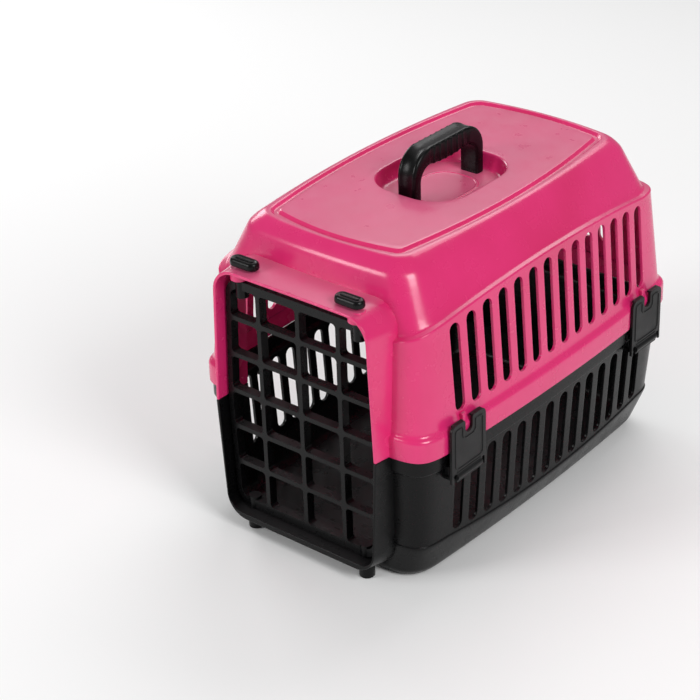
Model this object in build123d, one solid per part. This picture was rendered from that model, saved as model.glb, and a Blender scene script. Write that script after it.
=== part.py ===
from build123d import *
import os

# Pet carrier for a cat or a small dog: two moulded shells, a barred door on
# lift-out pins, four side clips and a snap-in carrying handle.
# Millimetres.  Front (door) faces -Y, +X is the side on the viewer's right
# when facing the back, +Z is up.  Z = 0 is the floor, X = 0 the middle plane.
# The shells are drawn about y = 0 at the middle of the slotted walls, and
# Y_SHIFT then moves everything so that the box is centred on the origin.

# ---------------------------------------------------------------- dimensions
Y_SHIFT = 8.5           # moves the model so that the bounding box is centred

T = 3.0                 # wall thickness of both shells

# heights
Z_SEAM = 147.0          # upper shell sits on the tray here
Z_LIP_TOP = 168.0       # top of the vertical band of the pink lip
Z_WALL = 177.0          # lip has run back into the wall
Z_SHOULDER = 284.0      # step between slotted band and upper wall
Z_UPPER = 290.0         # upper wall starts
Z_CREASE = 320.0        # crease under the roof edge
Z_ROOF = 334.0          # roof

# plan outlines: half width at the middle of the side, inward sag at the
# corners, front and rear half length at the middle, sag there, corner radius
LIP = (151.5, 9.0, 222.5, 221.0, 4.0, 26.0)
WALL_LOW = (146.0, 9.0, 218.5, 216.0, 4.0, 25.0)
WALL_TOP = (138.0, 8.5, 212.0, 208.0, 5.0, 24.0)
UPPER_LOW = (132.0, 9.0, 207.0, 203.0, 5.0, 26.0)
CREASE = (113.5, 12.0, 196.0, 194.0, 9.0, 30.0)
ROOF_SIDE = (107.0, 13.0, 189.0, 189.0, 9.5, 27.0)
ROOF_TOP = (101.0, 14.0, 183.0, 183.0, 10.0, 23.0)
GROOVE = (96.5, 14.5, 179.0, 179.0, 10.0, 19.0)
GROOVE_W = 3.0
GROOVE_D = 1.4

# ventilation slots of the sides, upper and lower rows
N_SLOT = 14
PITCH = 24.0
SLOT_W = 14.0
Z_SLOT_LOW = 181.5
Z_SLOT_TOP = 284.0      # middle slot; the ends are lower by SLOT_DROP
SLOT_DROP = 11.0
Z_VENT_LOW = 38.0       # lower row, middle slot; the ends are higher by VENT_RISE
VENT_RISE = 7.0
Z_VENT_TOP = 124.0
REAR_SLOTS = 6
REAR_SLOT_LOW = 190.0
REAR_SLOT_TOP = 264.0

# tray outlines
TRAY_FOOT = (121.0, 5.0, 205.0, 190.0, 4.0, 27.0)
TRAY_SKIRT = (128.0, 6.0, 210.0, 198.0, 5.0, 28.0)
TRAY_KNEE = (139.0, 8.0, 213.0, 207.0, 4.0, 23.0)
TRAY_TOP = (145.0, 9.0, 217.5, 215.5, 4.0, 24.0)
TRAY_FLANGE = (148.5, 9.0, 220.5, 218.5, 4.0, 25.0)
Z_SKIRT = 6.0
Z_KNEE = 34.0
Z_RIDGE = 128.0
RIM_H = 7.0             # tongue of the tray inside the upper shell
TRAY_RIM = (143.6, 9.0, 216.1, 214.1, 4.0, 23.0)

# front frame (arch that carries the door)
Y_FRAME = -238.0        # front edge
Y_ROOT = -198.0         # where it runs into the shell
FRAME_TOP = 298.0
FRAME_BOTTOM = 15.5
# half widths at the top, at the seam and at the bottom: widest at the seam
FRAME_FRONT = (95.5, 102.0, 94.5)
FRAME_ROOT = (104.0, 109.0, 102.0)
TUNNEL = (92.3, 98.8, 93.6)
TUNNEL_TOP = 294.5
SILL_TOP = 22.0

# door
DOOR_HALF = (90.0, 96.0, 91.0)
DOOR_Z0 = 25.0
DOOR_Z1 = 283.0
DOOR_Y = -221.0         # middle plane
DOOR_T = 10.0
BAR = 5.0
DOOR_BARS_X = (-50.0, 0.0, 50.0)
STILE = 6.0
DOOR_ROWS = (34.0, 75.0, 116.3, 157.6, 198.9, 240.2, 274.0)
PIN_X = 73.0
PIN_R = 3.0
RUN = 0.1               # radial clearance of pins in bores

# handle and its recess
RECESS = (52.0, 2.0, 63.5, 63.5, 2.0, 36.0)
Z_RECESS = 316.0
HANDLE_HALF_W = 11.0
HANDLE_HALF_L = 57.0
HANDLE_TOP = 374.0
GRIP_UNDER = 356.0
LEG = 12.0

# side clips
CLIP_Y = 156.0
CLIP_W = 54.0
CLIP_Z0 = 113.0
CLIP_AXIS_Z = 119.0
CLIP_AXIS_X = 149.0
CLIP_FACE_X = 147.3     # inner face of the plate
CLIP_T = 3.2
HOOK_Z = 174.0


# ------------------------------------------------------------------ helpers
def pillow(row, grow=0.0):
    w, bs, lf, lr, be, r = row
    w, lf, lr = w + grow, lf + grow, lr + grow
    r = max(r + grow, 2.0)
    xa, ya, yb = w - bs, -(lf - be), lr - be
    edges = [
        ThreePointArc((-xa, ya), (0, -lf), (xa, ya)),
        ThreePointArc((xa, ya), (w, (ya + yb) / 2), (xa, yb)),
        ThreePointArc((xa, yb), (0, lr), (-xa, yb)),
        ThreePointArc((-xa, yb), (-w, (ya + yb) / 2), (-xa, ya)),
    ]
    face = make_face(edges)
    return fillet(face.vertices(), r)


def stack(rows, grow=0.0):
    return loft([Pos(0, 0, z) * pillow(row, grow) for z, row in rows], ruled=True)


def slab(row, z0, z1, grow=0.0):
    return extrude(Pos(0, 0, z0) * pillow(row, grow), z1 - z0)


def block(x0, x1, y0, y1, z0, z1):
    return Pos((x0 + x1) / 2, (y0 + y1) / 2, (z0 + z1) / 2) * Box(x1 - x0, y1 - y0, z1 - z0)


def stadium(u, z0, z1, w):
    return Pos(u, (z0 + z1) / 2) * Rot(0, 0, 90) * SlotOverall(z1 - z0, w)


def side_faces(items, w):
    faces = Sketch()
    for u, z0, z1 in items:
        faces += stadium(u, z0, z1, w)
    return faces


YZ = Plane(origin=(0, 0, 0), x_dir=(0, 1, 0), z_dir=(1, 0, 0))
XZ = Plane(origin=(0, 0, 0), x_dir=(1, 0, 0), z_dir=(0, -1, 0))


def front_plane(y):
    return Plane(origin=(0, y, 0), x_dir=(1, 0, 0), z_dir=(0, -1, 0))


def poly(*pts):
    return make_face(Polyline(*pts, close=True))


def arch(y, half, top, r, z0=Z_SEAM):
    face = poly((-half[1], z0), (-half[0], top), (half[0], top), (half[1], z0))
    return front_plane(y) * fillet(face.vertices().sort_by(Axis.Y)[-2:], r)


def cradle(y, half, bottom, r, z1=Z_SEAM):
    face = poly((-half[1], z1), (-half[2], bottom), (half[2], bottom), (half[1], z1))
    return front_plane(y) * fillet(face.vertices().sort_by(Axis.Y)[:2], r)


slot_ys = [(i - (N_SLOT - 1) / 2) * PITCH for i in range(N_SLOT)]
rear_xs = [(i - (REAR_SLOTS - 1) / 2) * PITCH for i in range(REAR_SLOTS)]

# -------------------------------------------------------------- upper shell
outer_rows = [
    (Z_SEAM, LIP), (Z_LIP_TOP, LIP), (Z_WALL, WALL_LOW), (Z_SHOULDER, WALL_TOP),
    (Z_UPPER, UPPER_LOW), (Z_CREASE, CREASE), (Z_ROOF - 4.5, ROOF_SIDE), (Z_ROOF, ROOF_TOP),
]
inner_rows = [
    (Z_SEAM - 1, WALL_LOW), (Z_WALL - 1, WALL_LOW), (Z_SHOULDER - 2, WALL_TOP),
    (Z_UPPER - 2, UPPER_LOW), (Z_CREASE - 2, CREASE), (Z_ROOF - T - 3, ROOF_SIDE),
    (Z_ROOF - T, ROOF_TOP),
]
shell = stack(outer_rows)
# arch that stands out in front and carries the door
shell += loft([arch(Y_ROOT, FRAME_ROOT, FRAME_TOP + 2, 30), arch(Y_FRAME, FRAME_FRONT, FRAME_TOP, 26)], ruled=True)
cavity = stack(inner_rows, grow=-T)
bowl = slab(RECESS, Z_RECESS - T, Z_ROOF - 1, grow=T)
cavity -= bowl
shell -= cavity
# tunnel of the doorway
shell -= extrude(arch(Y_FRAME - 5, TUNNEL, TUNNEL_TOP, 22, Z_SEAM - 5), -(Y_ROOT - Y_FRAME + 12))
# recess for the handle and the groove round the roof panel
shell -= slab(RECESS, Z_RECESS, Z_ROOF + 5)
groove = slab(GROOVE, Z_ROOF - GROOVE_D, Z_ROOF + 2) - slab(GROOVE, Z_ROOF - GROOVE_D - 1, Z_ROOF + 3, grow=-GROOVE_W)
shell -= groove
# ventilation slots
slots = side_faces([(y, Z_SLOT_LOW, Z_SLOT_TOP - SLOT_DROP * (y / slot_ys[-1]) ** 2) for y in slot_ys], SLOT_W)
shell -= extrude(YZ * slots, 200, both=True)
rear = side_faces([(x, REAR_SLOT_LOW, REAR_SLOT_TOP) for x in rear_xs], SLOT_W)
shell -= extrude(XZ * rear, -260)
# bosses under the door knobs, and the bores of the pins
for sx in (-1, 1):
    shell += Pos(sx * PIN_X, DOOR_Y - 3, (DOOR_Z1 + 1.5 + FRAME_TOP + 2) / 2) * Cylinder(9, FRAME_TOP + 0.5 - DOOR_Z1)
    shell -= Pos(sx * PIN_X, DOOR_Y, FRAME_TOP - 5) * Cylinder(PIN_R + RUN, 60)
# nibs on the lip in the notch of each clip
for sx in (-1, 1):
    for sy in (-1, 1):
        nib = block(sx * 141, sx * 145.5, sy * CLIP_Y - 3.2, sy * CLIP_Y + 3.2, Z_LIP_TOP - 4, Z_LIP_TOP + 12) if sx > 0 else \
            block(-145.5, -141, sy * CLIP_Y - 3.2, sy * CLIP_Y + 3.2, Z_LIP_TOP - 4, Z_LIP_TOP + 12)
        shell += nib
# the lip is cut back to a flat seat behind each clip
for sx in (-1, 1):
    for sy in (-1, 1):
        x0, x1 = sorted((sx * 146.6, sx * 170))
        shell -= block(x0, x1, sy * CLIP_Y - CLIP_W / 2 - 0.6, sy * CLIP_Y + CLIP_W / 2 + 0.6, Z_SEAM - 1, HOOK_Z + 12)

# --------------------------------------------------------------- lower tray
tray = stack([(0, TRAY_FOOT), (Z_SKIRT, TRAY_SKIRT), (Z_KNEE, TRAY_KNEE), (Z_RIDGE, TRAY_TOP),
              (Z_RIDGE + 3, TRAY_FLANGE), (Z_SEAM, TRAY_FLANGE)])
# front frame of the tray, in line with the arch above
tray += loft([cradle(Y_ROOT, FRAME_ROOT, FRAME_BOTTOM - 6, 30), cradle(Y_FRAME, FRAME_FRONT, FRAME_BOTTOM, 25)], ruled=True)
# tongue inside the upper shell
tray += slab(WALL_LOW, Z_SEAM - 3, Z_SEAM + RIM_H, grow=-T - 0.4)
inside = stack([(T, TRAY_FOOT), (Z_SKIRT + T, TRAY_SKIRT), (Z_KNEE, TRAY_KNEE), (Z_RIDGE, TRAY_TOP), (Z_SEAM - 4, TRAY_TOP), (Z_SEAM, TRAY_RIM), (Z_SEAM + RIM_H + 1, TRAY_RIM)], grow=-T)
tray -= inside
# doorway through the front, above the sill
tray -= extrude(cradle(Y_FRAME - 5, TUNNEL, SILL_TOP, 16, Z_SEAM + 0.001), -(Y_ROOT - Y_FRAME + 12))
tray -= block(-TUNNEL[1], TUNNEL[1], Y_FRAME - 5, Y_ROOT + 12, Z_SEAM, Z_SEAM + 20)
# ventilation slots of the tray, in line with the ones above
tray_slots = side_faces([(y, Z_VENT_LOW + VENT_RISE * (y / slot_ys[-1]) ** 2, Z_VENT_TOP) for y in slot_ys], SLOT_W)
tray -= extrude(YZ * tray_slots, 200, both=True)
# sockets of the lower door pivots: closed on the hinge side, open to the front on the other
for sx in (-1, 1):
    tray += Pos(sx * PIN_X, DOOR_Y, 10.0) * Cylinder(8.0, 20)
    tray -= Pos(sx * PIN_X, DOOR_Y, SILL_TOP - 4) * Cylinder(PIN_R + RUN, 16)
tray -= block(PIN_X - PIN_R - 0.4, PIN_X + PIN_R + 0.4, Y_FRAME - 5, DOOR_Y, SILL_TOP - 12, SILL_TOP + 1)
# lugs and cross pins of the clips
for sx in (-1, 1):
    for sy in (-1, 1):
        yc = sy * CLIP_Y
        tray -= block(min(sx * 144.8, sx * 170), max(sx * 144.8, sx * 170), yc - CLIP_W / 2 - 0.6, yc + CLIP_W / 2 + 0.6, CLIP_Z0 - 4, Z_SEAM + 1)
        for e in (-1, 1):
            ye = yc + e * (CLIP_W / 2 - 5)
            x0, x1 = sorted((sx * (134.5 if e == sy else 138.0), sx * CLIP_AXIS_X))
            tray += block(x0, x1, ye - 2, ye + 2, CLIP_AXIS_Z - 3.2, CLIP_AXIS_Z + 3.2)
            x0, x1 = sorted((sx * 138.6, sx * 144.4))
            tray += block(x0, x1, ye - 2, ye + 2, CLIP_AXIS_Z, Z_RIDGE + 2)
            tray += Pos(sx * CLIP_AXIS_X, ye, CLIP_AXIS_Z) * Rot(90, 0, 0) * Cylinder(3.2, 4)
        tray += Pos(sx * CLIP_AXIS_X, yc, CLIP_AXIS_Z) * Rot(90, 0, 0) * Cylinder(1.9, CLIP_W - 6)

# --------------------------------------------------------------------- door
def door_outline(inset, r):
    t, m, b = (h - inset for h in DOOR_HALF)
    face = poly((-t, DOOR_Z1 - inset), (t, DOOR_Z1 - inset), (m, Z_SEAM), (b, DOOR_Z0 + inset),
                (-b, DOOR_Z0 + inset), (-m, Z_SEAM))
    ends = [v for v in face.vertices() if abs(v.Y - Z_SEAM) > 1]
    return fillet(ends, r)


frame_face = door_outline(0, 18)


def half_in(z):
    t, m, b = (h - STILE for h in DOOR_HALF)
    return m + (t - m) * (z - Z_SEAM) / (DOOR_Z1 - Z_SEAM) if z > Z_SEAM else m + (b - m) * (Z_SEAM - z) / (Z_SEAM - DOOR_Z0)


def cell_face(i, j):
    z0 = DOOR_ROWS[j] + (BAR / 2 if j else 0)
    z1 = DOOR_ROWS[j + 1] - (BAR / 2 if j < 5 else 0)
    if i in (1, 2):
        a = DOOR_BARS_X[i - 1] + BAR / 2
        b = DOOR_BARS_X[i] - BAR / 2
        face = poly((a, z0), (b, z0), (b, z1), (a, z1))
        return fillet(face.vertices(), 4.0)
    s = -1 if i == 0 else 1
    a = DOOR_BARS_X[2] + BAR / 2
    pts = [(s * a, z0), (s * half_in(z0), z0)]
    if z0 < Z_SEAM < z1:
        pts.append((s * half_in(Z_SEAM), Z_SEAM))
    pts += [(s * half_in(z1), z1), (s * a, z1)]
    face = poly(*pts)
    big = [v for v in face.vertices() if abs(v.X) > a + 1 and ((j == 0 and abs(v.Y - z0) < 0.1) or (j == 5 and abs(v.Y - z1) < 0.1))]
    if big:
        face = fillet(big, 11.0)
    rest = [v for v in face.vertices() if abs(abs(v.X) - a) < 0.1 or (not big and abs(v.Y - Z_SEAM) > 0.1)
            or (j == 0 and abs(v.Y - z1) < 0.1) or (j == 5 and abs(v.Y - z0) < 0.1)]
    return fillet(rest, 4.0)


for i in range(4):
    for j in range(6):
        frame_face -= cell_face(i, j)
door = extrude(Plane(origin=(0, DOOR_Y + DOOR_T / 2, 0), x_dir=(1, 0, 0), z_dir=(0, -1, 0)) * frame_face, DOOR_T)
for sx in (-1, 1):
    door += Pos(sx * PIN_X, DOOR_Y, DOOR_Z1 - 9) * Cylinder(6.5, 18)
    door += Pos(sx * PIN_X, DOOR_Y, DOOR_Z0 + 5.5) * Cylinder(6.5, 13)
    door += Pos(sx * PIN_X, DOOR_Y, DOOR_Z0 - 5.5) * Cylinder(PIN_R, 13)
    door -= Pos(sx * PIN_X, DOOR_Y, DOOR_Z1 - 9) * Cylinder(PIN_R + RUN, 30)
# the keeper on the latch side is open towards the inside
door -= block(PIN_X - PIN_R - 0.3, PIN_X + PIN_R + 0.3, DOOR_Y, DOOR_Y + 12, DOOR_Z1 - 20, DOOR_Z1 + 1)

# ---------------------------------------------------------------- door pins
PIN_Z0 = DOOR_Z1 - 14
HEAD_Z = FRAME_TOP + 2.6


def door_pin(sx):
    shaft = Pos(sx * PIN_X, DOOR_Y, (PIN_Z0 + HEAD_Z + 2) / 2) * Cylinder(PIN_R, HEAD_Z + 2 - PIN_Z0)
    head = Pos(sx * (PIN_X - 8), DOOR_Y - 3, HEAD_Z) * extrude(SlotOverall(33, 15), 8.5)
    head = fillet(head.edges().group_by(Axis.Z)[-1], 3.4)
    head = fillet(head.edges().group_by(Axis.Z)[0], 1.2)
    return shaft + head


# ------------------------------------------------------------------- handle
def handle_part():
    outer = Pos(0, (Z_RECESS + HANDLE_TOP) / 2) * Rectangle(2 * HANDLE_HALF_L, HANDLE_TOP - Z_RECESS)
    outer = fillet(outer.vertices().sort_by(Axis.Y)[-2:], 27)
    inner = Pos(0, (Z_RECESS + GRIP_UNDER) / 2 - 2) * Rectangle(2 * (HANDLE_HALF_L - LEG), GRIP_UNDER - Z_RECESS + 4)
    inner = fillet(inner.vertices().sort_by(Axis.Y)[-2:], 14)
    body = extrude(YZ * (outer - inner), HANDLE_HALF_W, both=True)
    long_edges = [e for e in body.edges() if abs(abs(e.center().X) - HANDLE_HALF_W) < 0.01 and e.center().Z > Z_RECESS + 1]
    return fillet(long_edges, 2.4)


# -------------------------------------------------------------------- clips
def clip_right(yc):
    x0 = CLIP_FACE_X
    out = block(x0, x0 + CLIP_T, yc - CLIP_W / 2, yc + CLIP_W / 2, CLIP_Z0, HOOK_Z + 3)
    out = fillet(out.edges().filter_by(Axis.X), 5)
    # tab that lies over the lip, and the notch that takes the nib
    out += block(x0 - 1.9, x0 + 1, yc - CLIP_W / 2 + 4, yc + CLIP_W / 2 - 4, HOOK_Z + 0.4, HOOK_Z + 3)
    out -= block(x0 - 8, x0 + 8, yc - 5.5, yc + 5.5, HOOK_Z - 12, HOOK_Z + 6)
    # windows for the two lugs, open at the bottom, and the barrel between them
    for e in (-1, 1):
        ye = yc + e * (CLIP_W / 2 - 5)
        out -= block(x0 - 6, x0 + 8, ye - 2.5, ye + 2.5, CLIP_Z0 - 1, CLIP_AXIS_Z + 4.2)
    out += Pos(CLIP_AXIS_X, yc, CLIP_AXIS_Z) * Rot(90, 0, 0) * Cylinder(3.6, CLIP_W - 15.4)
    out -= Pos(CLIP_AXIS_X, yc, CLIP_AXIS_Z) * Rot(90, 0, 0) * Cylinder(1.9 + RUN, CLIP_W - 13.4)
    return out


nodes = {
    "lower_tray": tray,
    "upper_shell": shell,
    "door_grille": door,
    "left_door_pin": door_pin(-1),
    "right_door_pin": door_pin(1),
    "handle": handle_part(),
    "front_right_clip": clip_right(-CLIP_Y),
    "rear_right_clip": clip_right(CLIP_Y),
    "front_left_clip": mirror(clip_right(-CLIP_Y), about=Plane.YZ),
    "rear_left_clip": mirror(clip_right(CLIP_Y), about=Plane.YZ),
}

os.makedirs("parts", exist_ok=True)
for name, shape in nodes.items():
    export_step(Pos(0, Y_SHIFT, 0) * shape, "parts/" + name + ".step")
    box = shape.bounding_box()
    print(name, "y", round(box.min.Y, 2), round(box.max.Y, 2), "x", round(box.min.X, 2), round(box.max.X, 2), "z", round(box.min.Z, 2), round(box.max.Z, 2))
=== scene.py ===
import math

import bmesh
import bpy
import numpy as np
from mathutils import Matrix, Vector


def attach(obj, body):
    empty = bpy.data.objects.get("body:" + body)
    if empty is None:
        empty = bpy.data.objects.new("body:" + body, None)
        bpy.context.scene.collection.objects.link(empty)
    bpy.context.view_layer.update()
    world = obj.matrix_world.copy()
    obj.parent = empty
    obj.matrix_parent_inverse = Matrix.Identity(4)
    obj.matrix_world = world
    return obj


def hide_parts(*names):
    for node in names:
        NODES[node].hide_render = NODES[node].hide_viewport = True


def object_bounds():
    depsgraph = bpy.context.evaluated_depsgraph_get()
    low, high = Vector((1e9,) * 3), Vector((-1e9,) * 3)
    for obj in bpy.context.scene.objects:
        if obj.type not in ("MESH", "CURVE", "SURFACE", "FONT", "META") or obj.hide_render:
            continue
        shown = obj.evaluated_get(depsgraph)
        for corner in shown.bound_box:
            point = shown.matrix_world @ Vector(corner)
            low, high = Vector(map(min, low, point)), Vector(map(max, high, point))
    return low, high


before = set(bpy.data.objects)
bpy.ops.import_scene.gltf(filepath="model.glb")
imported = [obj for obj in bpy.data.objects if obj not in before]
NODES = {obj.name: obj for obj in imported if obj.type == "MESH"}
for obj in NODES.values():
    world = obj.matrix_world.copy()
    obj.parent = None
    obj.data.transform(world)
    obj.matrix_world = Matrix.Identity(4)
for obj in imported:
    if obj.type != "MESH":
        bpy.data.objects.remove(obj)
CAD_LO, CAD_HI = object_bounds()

MM = 0.001
Y_SHIFT = 8.5


# ---------------------------------------------------------------- materials
def srgb(r, g, b):
    def f(c):
        c /= 255.0
        return c / 12.92 if c <= 0.04045 else ((c + 0.055) / 1.055) ** 2.4
    return (f(r), f(g), f(b), 1.0)


def plastic(name, base, shade, rough, coat=0.0, grain=0.02, grain_scale=1800.0,
            dust_and_sheen=0.0, dust_and_sheen_colour=(0.7, 0.7, 0.7, 1), dust_and_sheen_rough=0.25, specks=0.0, specular=0.5, dust_and_sheen_from=0.75):
    """Moulded plastic: a slightly uneven colour, fine mould grain, handling wear in the gloss and
    a lighter film on the faces that look up, partly dust and on the pink partly a painted sheen of the light from
    above."""
    m = bpy.data.materials.new(name)
    m.use_nodes = True
    nt = m.node_tree
    nt.nodes.clear()
    N, L = nt.nodes.new, nt.links.new
    out = N("ShaderNodeOutputMaterial")
    b = N("ShaderNodeBsdfPrincipled")
    L(b.outputs[0], out.inputs[0])
    tc = N("ShaderNodeTexCoord")
    big = N("ShaderNodeTexNoise")
    big.inputs["Scale"].default_value = 9.0
    big.inputs["Detail"].default_value = 4.0
    L(tc.outputs["Object"], big.inputs["Vector"])
    mix = N("ShaderNodeMix")
    mix.data_type = "RGBA"
    mix.inputs["A"].default_value = base
    mix.inputs["B"].default_value = shade
    ramp = N("ShaderNodeMapRange")
    ramp.inputs["From Min"].default_value = 0.35
    ramp.inputs["From Max"].default_value = 0.7
    L(big.outputs["Fac"], ramp.inputs["Value"])
    L(ramp.outputs[0], mix.inputs["Factor"])
    colour = mix.outputs["Result"]
    mid = N("ShaderNodeTexNoise")
    mid.inputs["Scale"].default_value = 55.0
    mid.inputs["Detail"].default_value = 6.0
    L(tc.outputs["Object"], mid.inputs["Vector"])
    r = N("ShaderNodeMapRange")
    r.inputs["From Min"].default_value = 0.3
    r.inputs["From Max"].default_value = 0.7
    r.inputs["To Min"].default_value = rough * 0.85
    r.inputs["To Max"].default_value = rough * 1.25
    L(mid.outputs["Fac"], r.inputs["Value"])
    rough_out = r.outputs[0]
    # lighter colour mixed in on faces that look up: dust, and on the pink a painted reflection of the overhead light
    if dust_and_sheen > 0:
        g = N("ShaderNodeNewGeometry")
        sep = N("ShaderNodeSeparateXYZ")
        L(g.outputs["Normal"], sep.inputs[0])
        up = N("ShaderNodeMapRange")
        up.inputs["From Min"].default_value = dust_and_sheen_from
        up.inputs["From Max"].default_value = 1.0
        L(sep.outputs["Z"], up.inputs["Value"])
        patch = N("ShaderNodeMapRange")
        patch.inputs["From Min"].default_value = 0.25
        patch.inputs["From Max"].default_value = 0.75
        patch.inputs["To Min"].default_value = dust_and_sheen * 0.75
        patch.inputs["To Max"].default_value = dust_and_sheen
        L(mid.outputs["Fac"], patch.inputs["Value"])
        mul = N("ShaderNodeMath")
        mul.operation = "MULTIPLY"
        L(up.outputs[0], mul.inputs[0])
        L(patch.outputs[0], mul.inputs[1])
        dm = N("ShaderNodeMix")
        dm.data_type = "RGBA"
        dm.inputs["B"].default_value = dust_and_sheen_colour
        L(colour, dm.inputs["A"])
        L(mul.outputs[0], dm.inputs["Factor"])
        colour = dm.outputs["Result"]
        dr = N("ShaderNodeMath")
        dr.operation = "MULTIPLY_ADD"
        dr.inputs[1].default_value = dust_and_sheen_rough
        L(mul.outputs[0], dr.inputs[0])
        L(rough_out, dr.inputs[2])
        rough_out = dr.outputs[0]
    if specks > 0:
        v = N("ShaderNodeTexVoronoi")
        v.inputs["Scale"].default_value = 210.0
        v.inputs["Randomness"].default_value = 1.0
        L(tc.outputs["Object"], v.inputs["Vector"])
        near = N("ShaderNodeMapRange")
        near.inputs["From Min"].default_value = 0.055
        near.inputs["From Max"].default_value = 0.11
        near.inputs["To Min"].default_value = specks
        near.inputs["To Max"].default_value = 0.0
        L(v.outputs["Distance"], near.inputs["Value"])
        sm = N("ShaderNodeMix")
        sm.data_type = "RGBA"
        sm.inputs["B"].default_value = dust_and_sheen_colour
        L(colour, sm.inputs["A"])
        L(near.outputs[0], sm.inputs["Factor"])
        colour = sm.outputs["Result"]
    fine = N("ShaderNodeTexNoise")
    fine.inputs["Scale"].default_value = grain_scale
    fine.inputs["Detail"].default_value = 3.0
    L(tc.outputs["Object"], fine.inputs["Vector"])
    bump = N("ShaderNodeBump")
    bump.inputs["Strength"].default_value = grain
    bump.inputs["Distance"].default_value = 0.0006
    L(fine.outputs["Fac"], bump.inputs["Height"])
    wave = N("ShaderNodeBump")
    wave.inputs["Strength"].default_value = 0.02
    wave.inputs["Distance"].default_value = 0.001
    L(mid.outputs["Fac"], wave.inputs["Height"])
    L(bump.outputs[0], wave.inputs["Normal"])
    L(wave.outputs[0], b.inputs["Normal"])
    L(colour, b.inputs["Base Color"])
    L(rough_out, b.inputs["Roughness"])
    b.inputs["Specular IOR Level"].default_value = specular
    if coat:
        b.inputs["Coat Weight"].default_value = coat
        b.inputs["Coat Roughness"].default_value = 0.12
    return m


# the paler pink on the faces that look up is a painted reflection of the light from above
PINK = plastic("pink_plastic", srgb(226, 45, 116), srgb(214, 38, 103), 0.24, coat=0.25,
               grain=0.02, dust_and_sheen=0.42, dust_and_sheen_colour=srgb(206, 138, 158), dust_and_sheen_rough=0.2,
               dust_and_sheen_from=0.9)
BLACK = plastic("black_plastic", srgb(6, 6, 7), srgb(9, 9, 10), 0.26, coat=0.0, specular=0.2,
                grain=0.12, grain_scale=1300.0, dust_and_sheen=0.10, dust_and_sheen_colour=srgb(120, 116, 118))
GREY = plastic("black_fitting_plastic", srgb(13, 13, 14), srgb(18, 18, 19), 0.36, specular=0.28,
               grain=0.3, grain_scale=1100.0, dust_and_sheen=0.10, dust_and_sheen_colour=srgb(130, 128, 130))


# ---------------------------------------------------------------- helpers
def mesh_object(name, verts, faces, material, body, smooth=True):
    me = bpy.data.meshes.new(name)
    me.from_pydata([tuple(v) for v in verts], [], [tuple(f) for f in faces])
    me.update()
    if smooth:
        me.shade_smooth()
    o = bpy.data.objects.new(name, me)
    bpy.context.scene.collection.objects.link(o)
    me.materials.append(material)
    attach(o, body)
    return o


def soften(node, material, width=0.8, segments=3, angle=30):
    """A CAD piece shown as it is, with its sharp moulded edges rounded."""
    o = NODES[node]
    o.data.materials.clear()
    o.data.materials.append(material)
    w = o.modifiers.new("weld", "WELD")
    w.merge_threshold = 0.00002
    d = o.modifiers.new("planes", "DECIMATE")
    d.decimate_type = "DISSOLVE"
    d.angle_limit = math.radians(0.6)
    b = o.modifiers.new("bevel", "BEVEL")
    b.width = width * MM
    b.segments = segments
    b.limit_method = "ANGLE"
    b.angle_limit = math.radians(angle)
    b.harden_normals = False
    n = o.modifiers.new("normals", "WEIGHTED_NORMAL")
    n.keep_sharp = False
    o.data.shade_smooth()
    return o



# ---------------------------------------------------------------- moulded shells
# An outline is (half width in the middle, side sag, front half length, rear half length, end sag, corner radius) in mm
LIP = (151.5, 9.0, 222.5, 221.0, 4.0, 26.0)
WALL_LOW = (146.0, 9.0, 218.5, 216.0, 4.0, 25.0)
WALL_TOP = (138.0, 8.5, 212.0, 208.0, 5.0, 24.0)
UPPER_LOW = (132.0, 9.0, 207.0, 203.0, 5.0, 26.0)
CREASE = (113.5, 12.0, 196.0, 194.0, 8.0, 22.0)
ROOF_SIDE = (107.0, 13.0, 189.0, 189.0, 9.0, 17.0)
ROOF_TOP = (101.0, 14.0, 183.0, 183.0, 9.5, 13.0)
GROOVE = (96.5, 14.5, 179.0, 179.0, 10.0, 11.0)
RECESS = (52.0, 2.0, 63.5, 63.5, 2.0, 36.0)
TRAY_FOOT = (121.0, 5.0, 205.0, 190.0, 4.0, 27.0)
TRAY_SKIRT = (128.0, 6.0, 210.0, 198.0, 5.0, 28.0)
TRAY_KNEE = (139.0, 8.0, 213.0, 207.0, 4.0, 23.0)
TRAY_TOP = (145.0, 9.0, 217.5, 215.5, 4.0, 24.0)
TRAY_FLANGE = (148.5, 9.0, 220.5, 218.5, 4.0, 25.0)
SLOT_YS = [(i - 6.5) * 24.0 for i in range(14)]
REAR_XS = [(i - 2.5) * 24.0 for i in range(6)]
SUB = (-12.0, -9.3, -6.4, -3.2, 0.0, 3.2, 6.4, 9.3)
YS, XE, BAND = 168.0, 89.0, 10


def columns():
    """Places round the outline, anticlockwise seen from above, and the cells that hold a slot."""
    cols, cells = [], []
    side = [c + d for c in SLOT_YS for d in SUB] + [YS]
    end = [XE, 83.5, 77.7] + [-(c + d) for c in REAR_XS for d in SUB] + [-72.0, -77.7, -83.5, -XE]
    arc = [k / 13.0 for k in range(1, 13)]

    def add(kind, values, cell_values=()):
        first = len(cols)
        cols.extend((kind, v) for v in values)
        for i, (start, centre) in enumerate(cell_values):
            cells.append((first + start, kind, centre))

    add("right", side, [(8 * i, c) for i, c in enumerate(SLOT_YS)])
    add("rear_right", arc)
    add("rear", end, [(3 + 8 * i, -c) for i, c in enumerate(REAR_XS)])
    add("rear_left", arc)
    add("left", [-v for v in side], [(8 * i, -c) for i, c in enumerate(SLOT_YS)])
    add("front_left", arc)
    add("front", [-v for v in end], [])
    add("front_right", arc)
    return cols, cells


COLS, CELLS = columns()


def side_x(o, y):
    w, bs, lf, lr, be, r = o
    ym, h = (lr - lf) / 2, (lr + lf) / 2 - be
    return w - bs * ((y - ym) / h) ** 2


def end_y(o, x, rear):
    w, bs, lf, lr, be, r = o
    l = lr if rear else lf
    return l - be * (x / (w - bs)) ** 2


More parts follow.
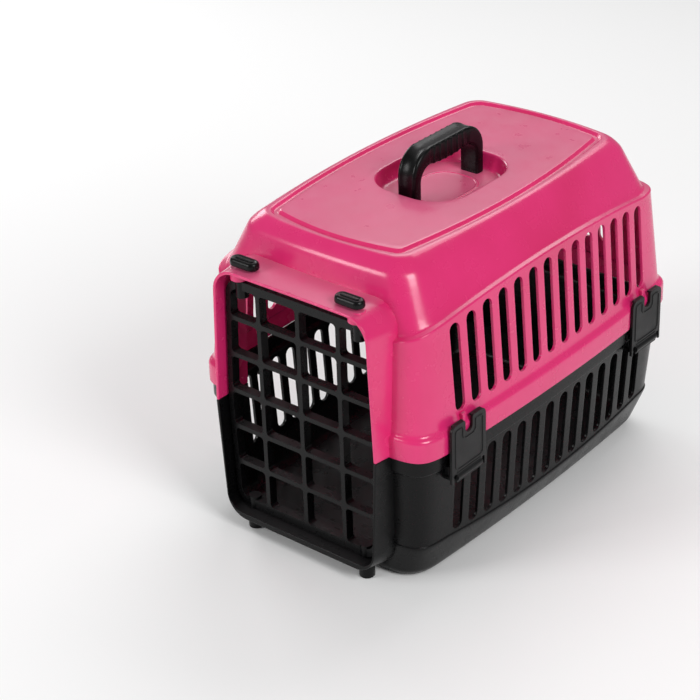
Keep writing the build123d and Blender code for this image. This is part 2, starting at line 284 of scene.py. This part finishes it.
def place(o, kind, v):
    """The point of outline o at one column, seen from above."""
    w, bs, lf, lr, be, r = o
    if kind in ("right", "left"):
        l = lr if v > 0 else lf
        y = v * min(1.0, (l - be - r) / YS)
        x = side_x(o, y)
        return (x if kind == "right" else -x, y)
    if kind in ("rear", "front"):
        x = v * min(1.0, (w - bs - r) / XE)
        y = end_y(o, x, kind == "rear")
        return (x, y if kind == "rear" else -y)
    rear, right = kind.startswith("rear"), kind.endswith("right")
    l = lr if rear else lf
    ys = YS * min(1.0, (l - be - r) / YS)
    xe = XE * min(1.0, (w - bs - r) / XE)
    s = np.array([side_x(o, ys if rear else -ys), ys])
    e = np.array([xe, end_y(o, xe, rear)])
    ds = -2 * bs * ys / ((lr + lf) / 2 - be) ** 2
    de = -2 * be * xe / (w - bs) ** 2
    # where the two tangents meet
    m = np.linalg.solve(np.array([[ds, -1.0], [1.0, -de]]), e - s)
    c = s + np.array([ds, 1.0]) * m[0]
    # from the side to the end on the rear right and front left, the other way round on the others
    t = v if kind in ("rear_right", "front_left") else 1 - v
    # handles that give the middle of the corner the outline's own radius
    ks = min(0.93, max(0.5, (0.5 - 0.293 * r / np.linalg.norm(c - s)) / 0.375))
    ke = min(0.93, max(0.5, (0.5 - 0.293 * r / np.linalg.norm(c - e)) / 0.375))
    p1, p2 = s + (c - s) * ks, e + (c - e) * ke
    q = (1 - t) ** 3 * s + 3 * (1 - t) ** 2 * t * p1 + 3 * (1 - t) * t * t * p2 + t ** 3 * e
    return (q[0] if right else -q[0], q[1] if rear else -q[1])


def grown(o, d, r_min=4.0):
    return (o[0] + d, o[1], o[2] + d, o[3] + d, o[4], max(o[5] + d, r_min))


def rows_of(keys, step=6.0):
    """Rows along a profile. A key is (height, outline, setback of its rounding, weight of the height curve)."""
    pts = [np.array([*o, z, wt]) for z, o, rd, wt in keys]
    out = [pts[0]]

    def dist(a, b):
        return math.hypot(max(abs(a[0] - b[0]), abs(a[2] - b[2])), a[6] - b[6])

    for i in range(1, len(pts)):
        rd = keys[i][2] if i < len(pts) - 1 else 0
        p, q = out[-1], pts[i]
        if rd:
            d2 = dist(q, pts[i + 1])
            a = q + (pts[i - 1] - q) * min(0.48, rd / dist(pts[i - 1], q))
            b = q + (pts[i + 1] - q) * min(0.48, rd / d2)
        else:
            a = q
        n = max(1, int(math.ceil(dist(p, a) / step)))
        for k in range(1, n + 1):
            out.append(p + (a - p) * k / n)
        if rd:
            for k in range(1, 5):
                t = k / 4
                out.append((1 - t) ** 2 * a + 2 * (1 - t) * t * q + t * t * b)
    return out


def shell_mesh(low, high, curve, slots, rear_slots, clamp, drop_face):
    """Outer skin of one moulded half: rows below the slots, a band with slots, rows above it.
    curve(kind, v) is how far a row with weight 1 is lowered at a column."""
    verts, faces = [], []
    lowering = [curve(k, v) for k, v in COLS]

    def put(row, kind, v, low_by):
        x, y = place(tuple(row[:6]), kind, v)
        z = row[6] - row[7] * low_by
        verts.append(clamp(x, y, z))
        return len(verts) - 1

    def row_ids(row):
        return [put(row, k, v, d) for (k, v), d in zip(COLS, lowering)]

    n = len(COLS)
    inside = set()
    for first, kind, centre in CELLS:
        if kind == "rear" and not rear_slots:
            continue
        inside.update(range(first + 1, first + 8))
    grid = [row_ids(r) for r in low]
    low_top = grid[-1]
    high_grid = [row_ids(r) for r in high]
    high_bottom = high_grid[0]
    ra, rb = low[-1], high[0]
    band = [low_top]
    for j in range(1, BAND):
        row = ra + (rb - ra) * j / BAND
        ids = []
        for i, ((k, v), d) in enumerate(zip(COLS, lowering)):
            ids.append(None if i in inside else put(row, k, v, d))
        band.append(ids)
    band.append(high_bottom)
    for g in (grid, high_grid):
        for r in range(len(g) - 1):
            for c in range(n):
                c2 = (c + 1) % n
                faces.append((g[r][c], g[r][c2], g[r + 1][c2], g[r + 1][c]))
    for j in range(BAND):
        for c in range(n):
            c2 = (c + 1) % n
            q = (band[j][c], band[j][c2], band[j + 1][c2], band[j + 1][c])
            if (c in inside) or (c2 in inside) or None in q:
                continue
            faces.append(q)
    for first, kind, centre in CELLS:
        if first + 1 not in inside:
            continue
        z0, z1 = (slots if kind != "rear" else rear_slots)(centre)
        ring = [low_top[first + k] for k in range(9)]
        ring += [band[j][first + 8] for j in range(1, BAND)]
        ring += [high_bottom[first + k] for k in range(8, -1, -1)]
        ring += [band[j][first] for j in range(BAND - 1, 0, -1)]
        sign = 1.0 if COLS[first + 8][1] > COLS[first][1] else -1.0
        previous = ring
        for half in (8.7, 7.0):
            loop = []
            lo_z, hi_z = z0 + 7.0, z1 - 7.0
            for k in range(9):
                a = math.pi + math.pi * k / 8
                loop.append((half * math.cos(a), lo_z + half * math.sin(a)))
            for j in range(1, BAND):
                loop.append((half, lo_z + (hi_z - lo_z) * j / BAND))
            for k in range(9):
                a = math.pi * k / 8
                loop.append((half * math.cos(a), hi_z + half * math.sin(a)))
            for j in range(BAND - 1, 0, -1):
                loop.append((-half, lo_z + (hi_z - lo_z) * j / BAND))
            ids = []
            for du, z in loop:
                v = centre + sign * du
                d = curve(kind, v)
                za, zb = ra[6] - ra[7] * d, rb[6] - rb[7] * d
                t = (z - za) / (zb - za)
                row = ra + (rb - ra) * t
                x, y = place(tuple(row[:6]), kind, v)
                verts.append((x, y, z))
                ids.append(len(verts) - 1)
            m = len(ids)
            for i in range(m):
                i2 = (i + 1) % m
                faces.append((previous[i], previous[i2], ids[i2], ids[i]))
            previous = ids
    for end, g in ((0, grid[0]), (1, high_grid[-1])):
        row = (low[0], high[-1])[end]
        if row[0] < 20:      # the profile closes in the middle
            verts.append((0, (row[3] - row[2]) / 2, row[6]))
            m = len(verts) - 1
            for c in range(n):
                c2 = (c + 1) % n
                faces.append((g[c2], g[c], m) if end == 0 else (g[c], g[c2], m))
    kept = []
    for f in faces:
        if len(set(f)) < 3:
            continue
        c = np.mean([verts[i] for i in f], axis=0)
        if not drop_face(c):
            kept.append(f)
    return verts, kept


def to_frame(verts):
    return [(x * MM, (y + Y_SHIFT) * MM, z * MM) for x, y, z in verts]


def finish_shell(o, thickness=3.0, bevel=0.9):
    bm = bmesh.new()
    bm.from_mesh(o.data)
    loose = [v for v in bm.verts if not v.link_faces]
    bmesh.ops.delete(bm, geom=loose, context="VERTS")
    bmesh.ops.remove_doubles(bm, verts=bm.verts, dist=0.00001)
    bm.to_mesh(o.data)
    bm.free()
    o.data.shade_smooth()
    s = o.modifiers.new("wall", "SOLIDIFY")
    s.thickness = thickness * MM
    s.offset = -1.0
    s.use_even_offset = False
    s.use_quality_normals = True
    b = o.modifiers.new("rounding", "BEVEL")
    b.width = bevel * MM
    b.segments = 3
    b.limit_method = "ANGLE"
    b.angle_limit = math.radians(52)
    b.use_clamp_overlap = True
    return o


def corner_value(kind, v, side, front_extra=0.0):
    """The height curve of the sides, carried round the corners; front_extra is how much more it
    has turned by the time it meets the front."""
    if kind in ("right", "left"):
        return side(v)
    if kind == "front":
        return side(YS) + front_extra
    if kind == "front_left":
        return side(YS) + front_extra * v ** 1.15
    if kind == "front_right":
        return side(YS) + front_extra * (1 - v) ** 1.15
    return side(YS)


def clip_seat(x_seat, z_low, z_high):
    def clamp(x, y, z):
        if abs(abs(y) - 156.0) < 27.7 and z_low <= z <= z_high and abs(x) > x_seat:
            x = math.copysign(x_seat, x)
        return (x, y, z)
    return clamp


# upper half
low = rows_of([
    (147.15, LIP, 0, 0), (168.6, LIP, 3.2, 0), (172.2, grown(WALL_LOW, 0.6), 2.2, 0),
    (177.2, grown(WALL_LOW, -0.2), 1.6, 0), (179.3, grown(WALL_LOW, -0.4), 0, 0),
], 5.0)
g = GROOVE
rim = (0.4 * 52, 0.5, 0.4 * 63.5, 0.4 * 63.5, 0.5, 15.0)
high = rows_of([
    (286.4, grown(WALL_TOP, -0.1), 0, 1), (290.4, WALL_TOP, 1.7, 1), (291.8, grown(UPPER_LOW, 0.2), 1.8, 1),
    (322.0, CREASE, 3.0, 0), (329.5, ROOF_SIDE, 4.5, 0), (334.0, ROOF_TOP, 3.4, 0),
    (334.0, grown(g, 0.6), 0.9, 0), (330.9, grown(g, -2.0), 0.9, 0), (330.9, grown(g, -5.4), 0.9, 0),
    (334.0, grown(g, -8.0), 1.0, 0),
    (334.0, grown(RECESS, 1.5), 2.4, 0), (317.6, grown(RECESS, -3.0), 4.5, 0),
    (317.6, (31.0, 1, 38.0, 38.0, 1, 24.0), 0.5, 0), (318.3, (30.2, 1, 37.2, 37.2, 1, 23.5), 0.4, 0),
    (318.3, (28.4, 1, 35.4, 35.4, 1, 22.0), 0.4, 0), (317.6, (27.6, 1, 34.6, 34.6, 1, 21.5), 0.5, 0),
    (317.6, (8.0, 0.3, 10.0, 10.0, 0.3, 6.0), 0, 0),
], 7.0)
v, f = shell_mesh(
    low, high,
    lambda k, u: corner_value(k, u, lambda y: 11.0 * (y / 156.0) ** 2, 14.0),
    lambda y: (181.5, 284.0 - 11.0 * (y / 156.0) ** 2), lambda x: (190.0, 264.0),
    clip_seat(146.6, 140, 186),
    lambda c: c[1] < -185 and abs(c[0]) < 97.0 + (297.5 - c[2]) / 30.0 and c[2] < 297.5
    and not (abs(c[0]) > 70.0 and c[2] > 269.0 and math.hypot(abs(c[0]) - 70.0, c[2] - 269.0) > 26.5))
upper = finish_shell(mesh_object("upper_shell_body", to_frame(v), f, PINK, "carrier"), 3.0, 0.9)
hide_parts("upper_shell")

# tray
centre_low = (10.0, 0.3, 16.0, 15.0, 0.3, 4.0)
low = rows_of([
    (0.0, centre_low, 0, 0), (0.0, TRAY_FOOT, 1.6, 0), (6.0, TRAY_SKIRT, 3.0, 0.1),
    (31.5, grown(TRAY_KNEE, 0.9), 6.0, 1), (34.2, grown(TRAY_KNEE, 1.1), 0.35, 1), (34.8, grown(TRAY_KNEE, 0.1), 0.3, 1),
    (35.6, grown(TRAY_KNEE, 0.15), 0, 1),
], 9.0)
high = rows_of([
    (126.3, grown(TRAY_TOP, -0.1), 0, 0), (128.0, TRAY_TOP, 0.7, 0), (130.6, TRAY_FLANGE, 0.9, 0), (146.85, TRAY_FLANGE, 0, 0),
], 4.0)
v, f = shell_mesh(
    low, high,
    lambda k, u: -corner_value(k, u, lambda y: 7.0 * (y / 156.0) ** 2),
    lambda y: (38.0 + 7.0 * (y / 156.0) ** 2, 124.0), None,
    clip_seat(144.8, 109, 148),
    lambda c: c[1] < -185 and abs(c[0]) < 98.0 + (c[2] - 17.5) / 32.0 and c[2] > 17.5
    and not (abs(c[0]) > 73.0 and c[2] < 42.0 and math.hypot(abs(c[0]) - 73.0, 42.0 - c[2]) > 24.0))
tray = finish_shell(mesh_object("lower_tray_body", to_frame(v), f, BLACK, "carrier"), 3.0, 0.8)
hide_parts("lower_tray")


# ---------------------------------------------------------------- front frame
def arch_points(half_a, half_b, z_a, z_b, r, crown=0.0):
    """Half-open outline from the seam on the right round the far edge to the seam on the left.
    half_a and z_a are at the far edge, half_b and z_b at the seam."""
    up = 1.0 if z_a > z_b else -1.0
    side = np.array([half_a - half_b, z_a - z_b])
    L = np.linalg.norm(side)
    side = side / L
    corner = np.array([half_a, z_a])
    top = np.array([-1.0, 0.0])
    ang = math.acos(max(-1, min(1, -float(side @ top))))
    tlen = r / math.tan(ang / 2)
    a, b = corner - side * tlen, corner + top * tlen
    pts = [np.array([half_b, z_b]) + (a - np.array([half_b, z_b])) * k / 8 for k in range(8)]
    bis = (-side + top)
    bis = bis / np.linalg.norm(bis)
    centre = corner + bis * (r / math.sin(ang / 2))
    a0, b0 = a - centre, b - centre
    t0, t1 = math.atan2(a0[1], a0[0]), math.atan2(b0[1], b0[0])
    d = (t1 - t0 + math.pi) % (2 * math.pi) - math.pi
    for k in range(11):
        t = t0 + d * k / 10
        pts.append(centre + r * np.array([math.cos(t), math.sin(t)]))
    n = 18
    half = b[0]
    for k in range(1, n // 2 + 1):
        pts.append(np.array([half - 2 * half * k / n, z_a]))
    out = [(p[0], p[1] + up * crown * max(0.0, 1 - (p[0] / half_a) ** 2)) for p in pts]
    left = [(-x, z) for x, z in reversed(out[:-1])]
    return out + left


def frame_solid(outer, inner):
    """A closed ring sector: outer and inner are lists of (y, outline) from front to back."""
    verts, rings = [], []
    for y, pts in outer + inner[::-1]:
        rings.append(range(len(verts), len(verts) + len(pts)))
        verts.extend((x, y, z) for x, z in pts)
    faces = []
    m = len(rings)
    n = len(rings[0])
    for i in range(m):
        a, b = rings[i], rings[(i + 1) % m]
        for k in range(n - 1):
            faces.append((a[k], b[k], b[k + 1], a[k + 1]))
    faces.append(tuple(r[0] for r in rings))
    faces.append(tuple(r[n - 1] for r in rings)[::-1])
    return verts, faces


def rod(x, y, z0, z1, r, n=32, taper=0.0):
    verts, faces = [], []
    for z, rr in ((z0, r), (z1, r - taper)):
        for k in range(n):
            a = 2 * math.pi * k / n
            verts.append((x + rr * math.cos(a), y + rr * math.sin(a), z))
    for k in range(n):
        k2 = (k + 1) % n
        faces.append((k, k2, n + k2, n + k))
    faces.append(tuple(range(n))[::-1])
    faces.append(tuple(range(n, 2 * n)))
    return verts, faces


def slab(x0, x1, y0, y1, z0, z1):
    v = [(x, y, z) for z in (z0, z1) for y in (y0, y1) for x in (x0, x1)]
    return v, [(0, 2, 3, 1), (4, 5, 7, 6), (0, 1, 5, 4), (2, 6, 7, 3), (0, 4, 6, 2), (1, 3, 7, 5)]


def joined(parts):
    verts, faces = [], []
    for v, f in parts:
        k = len(verts)
        verts.extend(v)
        faces.extend(tuple(i + k for i in q) for q in f)
    return verts, faces


def rounded(o, width, angle=35, segments=3):
    bm = bmesh.new()
    bm.from_mesh(o.data)
    bmesh.ops.recalc_face_normals(bm, faces=bm.faces)
    bm.to_mesh(o.data)
    bm.free()
    o.data.shade_smooth()
    b = o.modifiers.new("rounding", "BEVEL")
    b.width = width * MM
    b.segments = segments
    b.limit_method = "ANGLE"
    b.angle_limit = math.radians(angle)
    n = o.modifiers.new("normals", "WEIGHTED_NORMAL")
    return o


def flare(t):
    return t ** 1.2


ring_o, ring_i = [], []
for t in (0.0, 0.12, 0.3, 0.5, 0.7, 0.85, 1.0, 1.3):
    e = flare(min(t, 1.0))
    y = -238.0 + 34.0 * t
    ring_o.append((y, arch_points(95.5 + 6.0 * e, 102 + 5.0 * e, 297.2 + 2.2 * e, 147.15, 26 + 4 * e, 0.8)))
for t in (0.0, 0.5, 1.3):
    ring_i.append((-238.0 + 34.0 * t, arch_points(92.3, 98.8, 294.0, 147.15, 22.8, 0.8)))
parts = [frame_solid(ring_o, ring_i)]
for sx in (-1, 1):
    parts.append(rod(sx * 73.0, -224.0, 285.0, 297.6, 9.0))
    for sy in (-1, 1):
        x0, x1 = sorted((sx * 141.0, sx * 145.5))
        parts.append(slab(x0, x1, sy * 156 - 3.2, sy * 156 + 3.2, 164, 180))
v, f = joined(parts)
collar = rounded(mesh_object("upper_shell_front_frame", to_frame(v), f, PINK, "carrier"), 1.1)

ring_o, ring_i = [], []
for t in (0.0, 0.12, 0.3, 0.5, 0.7, 0.85, 1.0, 1.3):
    e = flare(min(t, 1.0))
    y = -238.0 + 34.0 * t
    ring_o.append((y, arch_points(94.5 + 6.0 * e, 102 + 5.0 * e, 15.5 - 6.0 * e, 146.85, 25 + 5 * e)))
for t in (0.0, 0.5, 1.3):
    ring_i.append((-238.0 + 34.0 * t, arch_points(93.6, 98.8, 22.0, 146.85, 18.0)))
parts = [frame_solid(ring_o, ring_i)]
for sx in (-1, 1):
    parts.append(rod(sx * 73.0, -221.0, 0.2, 19.0, 8.0))
    for sy in (-1, 1):
        for e in (-1, 1):
            ye = sy * 156.0 + e * 22.0
            x0, x1 = sorted((sx * (134.5 if e == sy else 138.0), sx * 149.0))
            parts.append(slab(x0, x1, ye - 2, ye + 2, 115.8, 122.2))
            x0, x1 = sorted((sx * 138.6, sx * 144.4))
            parts.append(slab(x0, x1, ye - 2, ye + 2, 119.0, 131.0))
v, f = joined(parts)
cradle = rounded(mesh_object("lower_tray_front_frame", to_frame(v), f, BLACK, "carrier"), 1.1)

soften("door_grille", BLACK, 0.9)


# ---------------------------------------------------------------- small pieces
def round_poly(pts, radii, n=6):
    """A closed outline with its corners rounded, as points in order."""
    out = []
    m = len(pts)
    if not hasattr(radii, "__len__"):
        radii = [radii] * m
    for i in range(m):
        q = np.array(pts[i], float)
        u = np.array(pts[i - 1], float) - q
        v = np.array(pts[(i + 1) % m], float) - q
        r = radii[i]
        if r <= 0:
            out.append(tuple(q))
            continue
        u, v = u / np.linalg.norm(u), v / np.linalg.norm(v)
        ang = math.acos(max(-1, min(1, float(u @ v))))
        t = r / math.tan(ang / 2)
        a, b = q + u * t, q + v * t
        c = q + (u + v) / np.linalg.norm(u + v) * (r / math.sin(ang / 2))
        t0 = math.atan2(*(a - c)[::-1])
        t1 = math.atan2(*(b - c)[::-1])
        d = (t1 - t0 + math.pi) % (2 * math.pi) - math.pi
        for k in range(n + 1):
            w = t0 + d * k / n
            out.append((c[0] + r * math.cos(w), c[1] + r * math.sin(w)))
    return out


def plate(outline, x0, x1):
    """An outline in (y, z) as a plate between two x."""
    n = len(outline)
    verts = [(x, y, z) for x in (x0, x1) for y, z in outline]
    faces = [(k, (k + 1) % n, n + (k + 1) % n, n + k) for k in range(n)]
    return verts, faces + [tuple(range(n))[::-1], tuple(range(n, 2 * n))]


def ring_plate(outer, inner, x0, x1, x_top):
    """A raised line between two outlines of the same number of points, with sloped sides."""
    n = len(outer)
    mo = [((a[0] * 0.7 + b[0] * 0.3), (a[1] * 0.7 + b[1] * 0.3)) for a, b in zip(outer, inner)]
    mi = [((a[0] * 0.3 + b[0] * 0.7), (a[1] * 0.3 + b[1] * 0.7)) for a, b in zip(outer, inner)]
    verts = [(x0, y, z) for y, z in outer] + [(x_top, y, z) for y, z in mo] + [(x_top, y, z) for y, z in mi] + [(x0, y, z) for y, z in inner]
    faces = []
    for ring in range(4):
        a, b = ring * n, ((ring + 1) % 4) * n
        for k in range(n):
            k2 = (k + 1) % n
            faces.append((a + k, a + k2, b + k2, b + k))
    return verts, faces


def rod_y(x, z, y0, y1, r, n=28):
    verts, faces = [], []
    for y in (y0, y1):
        for k in range(n):
            a = 2 * math.pi * k / n
            verts.append((x + r * math.cos(a), y, z + r * math.sin(a)))
    for k in range(n):
        k2 = (k + 1) % n
        faces.append((k, k2, n + k2, n + k))
    faces.append(tuple(range(n)))
    faces.append(tuple(range(n, 2 * n))[::-1])
    return verts, faces


def clip_piece(name, body, sx, yc):
    """Side clip: a plate hinged on a barrel at its foot, two ears over the lip with a notch between
    them, and a raised border line on its face."""
    w = 27.0
    pts = [(-w, 113.4), (-24.6, 113.4), (-24.6, 123.2), (-19.4, 123.2), (-19.4, 113.4),
           (19.4, 113.4), (19.4, 123.2), (24.6, 123.2), (24.6, 113.4), (w, 113.4),
           (w, 176.9), (5.5, 176.9), (5.5, 162.0), (-5.5, 162.0), (-5.5, 176.9), (-w, 176.9)]
    rad = [1.0, 0, 1.5, 1.5, 0, 0, 1.5, 1.5, 0, 1.0, 7.0, 3.0, 5.0, 5.0, 3.0, 7.0]
    outline = [(y + yc, z) for y, z in round_poly(pts, rad)]
    parts = [plate(outline, 147.3, 150.4)]
    for e in (-1, 1):
        y0, y1 = sorted((yc + e * 6.5, yc + e * 22.5))
        parts.append(slab(145.4, 148.5, y0, y1, 174.5, 176.9))
    outer = [(y + yc, z) for y, z in round_poly(
        [(-22.3, 127.0), (22.3, 127.0), (22.3, 172.2), (9.3, 172.2), (9.3, 158.4), (-9.3, 158.4), (-9.3, 172.2), (-22.3, 172.2)],
        [5, 5, 4, 2, 4.5, 4.5, 2, 4])]
    inner = [(y + yc, z) for y, z in round_poly(
        [(-20.7, 128.6), (20.7, 128.6), (20.7, 170.6), (10.9, 170.6), (10.9, 156.8), (-10.9, 156.8), (-10.9, 170.6), (-20.7, 170.6)],
        [4, 4, 3, 1.2, 5.5, 5.5, 1.2, 3])]
    parts.append(ring_plate(outer, inner, 150.2, 151.2, 151.2))
    parts.append(rod_y(149.0, 119.0, yc - 19.3, yc + 19.3, 3.6))
    parts.append(plate([(yc - 18.5, 123.6), (yc + 18.5, 123.6), (yc + 18.5, 124.8), (yc - 18.5, 124.8)], 150.2, 151.0))
    v, f = joined(parts)
    if sx < 0:
        v = [(-x, y, z) for x, y, z in v]
    o = rounded(mesh_object(name, to_frame(v), f, GREY, body), 0.6, 30, 3)
    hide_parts(name.replace("_plate", ""))
    return o


clip_piece("front_right_clip_plate", "clip_fr", 1, -156.0)
clip_piece("rear_right_clip_plate", "clip_rr", 1, 156.0)
clip_piece("front_left_clip_plate", "clip_fl", -1, -156.0)
clip_piece("rear_left_clip_plate", "clip_rl", -1, 156.0)


def obround(cx, cy, half_x, half_y, n=12):
    pts = []
    for s, a0 in ((1, -math.pi / 2), (-1, math.pi / 2)):
        for k in range(n + 1):
            a = a0 + math.pi * k / n
            pts.append((cx + s * (half_x - half_y) + half_y * math.cos(a), cy + half_y * math.sin(a)))
    return pts


def lofted(levels):
    """Stacked outlines (z, points) closed at both ends."""
    n = len(levels[0][1])
    verts = [(x, y, z) for z, pts in levels for x, y in pts]
    faces = []
    for i in range(len(levels) - 1):
        for k in range(n):
            k2 = (k + 1) % n
            faces.append((i * n + k, i * n + k2, (i + 1) * n + k2, (i + 1) * n + k))
    faces.append(tuple(range(n))[::-1])
    faces.append(tuple(range((len(levels) - 1) * n, len(levels) * n)))
    return verts, faces


def knob(name, body, sx):
    """Lift-out door pin: a shaft with an oval head, its rim rounded and its middle dished round a grip bar."""
    cx, cy, z = sx * 65.0, -224.0, 300.6
    rows = [(0.0, 1.0), (0.5, 0.3), (1.2, 0.0), (4.6, 0.0), (6.2, 0.5), (7.4, 1.5), (7.9, 2.5), (7.9, 3.3), (7.3, 4.1), (7.1, 4.6)]
    head = lofted([(z + h, obround(cx, cy, 16.5 - d, 7.5 - d)) for h, d in rows])
    bar = lofted([(z + h, obround(cx, cy, 11.0 - d, 1.7 - d)) for h, d in [(6.0, 0.0), (7.8, 0.0), (8.3, 0.25), (8.5, 0.7)]])
    shaft = rod(sx * 73.0, -221.0, 269.0, 302.0, 3.0, 24)
    v, f = joined([head, bar, shaft])
    o = rounded(mesh_object(name, to_frame(v), f, BLACK, body), 0.35, 50, 2)
    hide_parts(name.replace("_knob", ""))
    return o


knob("left_door_pin_knob", "left_pin", -1)
knob("right_door_pin_knob", "right_pin", 1)


def handle_piece():
    """Fixed handle: two strap legs with raised edges and a thicker grip with ribs across its sides."""
    def path(half, z_top, r, n_leg=10, n_arc=14, n_top=72):
        pts = [(-half, 316.0 + (z_top - r - 316.0) * k / n_leg) for k in range(n_leg)]
        for k in range(n_arc + 1):
            a = math.pi - math.pi / 2 * k / n_arc
            pts.append((-half + r + r * math.cos(a), z_top - r + r * math.sin(a)))
        for k in range(1, n_top):
            pts.append((-half + r + 2 * (half - r) * k / n_top, z_top))
        for k in range(n_arc + 1):
            a = math.pi / 2 - math.pi / 2 * k / n_arc
            pts.append((half - r + r * math.cos(a), z_top - r + r * math.sin(a)))
        for k in range(1, n_leg + 1):
            pts.append((half, z_top - r - (z_top - r - 316.0) * k / n_leg))
        return pts
    outer = path(57.0, 374.0, 28.0)
    inner = path(45.5, 355.6, 15.0)
    verts, n = [], 0
    for (yo, zo), (yi, zi) in zip(outer, inner):
        grip = max(0.0, 1 - (yi / 33.0) ** 2) if abs(yi) < 33 and zi > 350 else 0.0
        zi -= 3.2 * grip
        half = 11.0
        if abs(yo) < 29.5 and zo > 373.5:
            ph = ((yo + 45.0) % 9.0) - 4.5
            rib = max(0.0, 1 - abs(ph) / 1.5)
            half = 10.1 + 0.9 * min(1.0, rib * 1.8)
        t = math.hypot(yo - yi, zo - zi)
        legs = 0.55

        def at(x, d):
            k = d / t
            return (x, yo + (yi - yo) * k, zo + (zi - zo) * k)
        sec = [at(-half + 2.6, 0.0), at(-half + 1.3, 0.35), at(-half + 0.35, 1.3), at(-half, 2.6),
               at(-half, t * 0.5), at(-half, t - 2.6), at(-half + 0.35, t - 1.3), at(-half + 1.3, t - 0.35), at(-half + 2.6, t),
               at(0, t + 0.001),
               at(half - 2.6, t), at(half - 1.3, t - 0.35), at(half - 0.35, t - 1.3), at(half, t - 2.6), at(half, t * 0.5),
               at(half, 2.6), at(half - 0.35, 1.3), at(half - 1.3, 0.35), at(half - 2.6, 0.0),
               at(6.9, 0.05), at(6.2, legs), at(0, legs), at(-6.2, legs), at(-6.9, 0.05)]
        n = len(sec)
        verts.extend(sec)
    m = len(outer)
    faces = []
    for i in range(m - 1):
        for k in range(n):
            k2 = (k + 1) % n
            faces.append((i * n + k, i * n + k2, (i + 1) * n + k2, (i + 1) * n + k))
    faces.append(tuple(range(n))[::-1])
    faces.append(tuple(range((m - 1) * n, m * n)))
    o = mesh_object("handle_strap", to_frame(verts), faces, BLACK, "carrier")
    bm = bmesh.new()
    bm.from_mesh(o.data)
    bmesh.ops.recalc_face_normals(bm, faces=bm.faces)
    bm.to_mesh(o.data)
    bm.free()
    o.data.shade_smooth()
    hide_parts("handle")
    return o


handle_piece()


# ---------------------------------------------------------------- stage
def area(name, size, energy, place, target=(0, 0, 0.17), colour=(1, 1, 1), size_y=None):
    l = bpy.data.lights.new(name, "AREA")
    l.shape = "RECTANGLE" if size_y else "SQUARE"
    l.size = size
    if size_y:
        l.size_y = size_y
    l.energy = energy
    l.color = colour
    o = bpy.data.objects.new(name, l)
    bpy.context.scene.collection.objects.link(o)
    o.location = place
    o.rotation_mode = "QUATERNION"
    o.rotation_quaternion = (Vector(target) - Vector(place)).to_track_quat("-Z", "Y")
    return o


floor_mesh = bpy.data.meshes.new("floor")
floor_mesh.from_pydata([(-6, -6, 0), (6, -6, 0), (6, 6, 0), (-6, 6, 0)], [], [(0, 1, 2, 3)])
floor = bpy.data.objects.new("floor", floor_mesh)
bpy.context.scene.collection.objects.link(floor)
fm = bpy.data.materials.new("floor_paint")
fm.use_nodes = True
fb = fm.node_tree.nodes["Principled BSDF"]
fb.inputs["Base Color"].default_value = (0.93, 0.93, 0.93, 1)
fb.inputs["Roughness"].default_value = 0.75
floor_mesh.materials.append(fm)
floor.location.z = CAD_LO.z - 0.0004

world = bpy.data.worlds.new("studio")
world.use_nodes = True
world.node_tree.nodes["Background"].inputs["Color"].default_value = (1, 1, 1, 1)
world.node_tree.nodes["Background"].inputs["Strength"].default_value = 0.26
bpy.context.scene.world = world

area("key_right", 0.9, 26, (1.7, -0.5, 1.5))
area("front_left", 0.9, 20, (-1.0, -1.9, 1.1))
area("top_back", 1.8, 22, (-0.5, 1.5, 2.0), size_y=1.2)
area("left_back", 0.8, 10, (-1.9, 0.6, 1.0))

bpy.context.scene.view_settings.view_transform = "Standard"

# camera at the photograph's place: distance, height and turn as in the picture
cam_data = bpy.data.cameras.new("camera")
cam = bpy.data.objects.new("camera", cam_data)
bpy.context.scene.collection.objects.link(cam)
cam_data.sensor_width = 36.0
cam_data.lens = 107.678
cam_data.clip_start, cam_data.clip_end = 0.05, 60.0
R = [(0.7709769, 0.6361250, -0.0306531),
     (0.2888226, -0.3921362, -0.8733903),
     (-0.5676056, 0.6645105, -0.4860552)]
M = Matrix(((R[0][0], -R[1][0], -R[2][0]), (R[0][1], -R[1][1], -R[2][1]), (R[0][2], -R[1][2], -R[2][2])))
cam.rotation_mode = "QUATERNION"
cam.rotation_quaternion = M.to_quaternion()
cam.location = (1.16935, -1.51045, 1.19881)
bpy.context.scene.camera = cam

bpy.context.view_layer.update()
